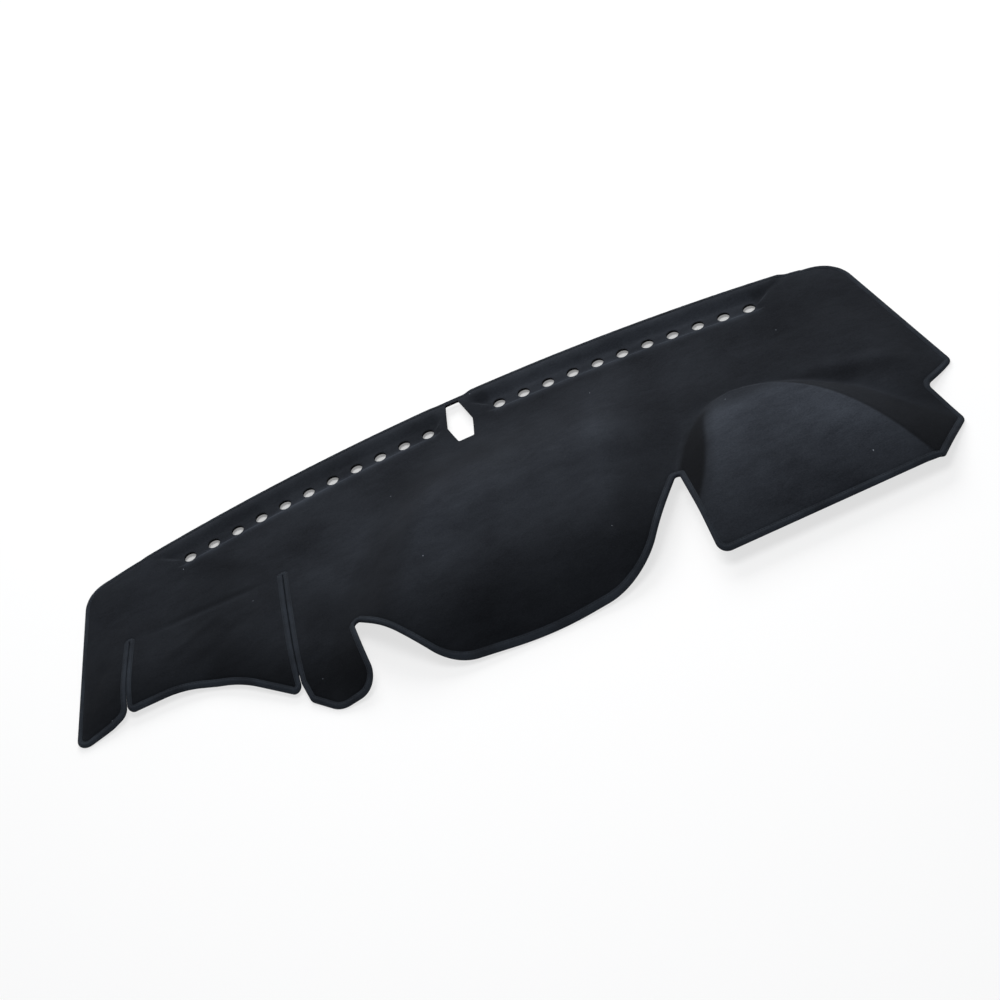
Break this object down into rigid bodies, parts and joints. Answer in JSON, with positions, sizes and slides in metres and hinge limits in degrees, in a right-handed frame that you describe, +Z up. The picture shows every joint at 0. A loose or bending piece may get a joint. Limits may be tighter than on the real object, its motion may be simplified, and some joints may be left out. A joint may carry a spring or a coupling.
{
  "type": "dashboard cover mat",
  "caption": "Moulded felt mat that covers a car dashboard, with vent rows, a sensor window, an instrument hood, relief slits and a bound edge.",
  "frame": {"origin": "middle of the mat's footprint, on the surface that it lies on", "axes": "+X to the right along the dash as the driver sees it, +Y towards the windscreen, +Z up"},
  "size_m": [1.4108, 0.5822, 0.0664],
  "materials": {
    "felt": "needle-punched felt, short brushed pile",
    "binding": "woven polyester binding tape, stitched"
  },
  "bodies": {
    "root": {"mat_panel": "felt", "edge_binding": "binding"}
  },
  "joints": []
}
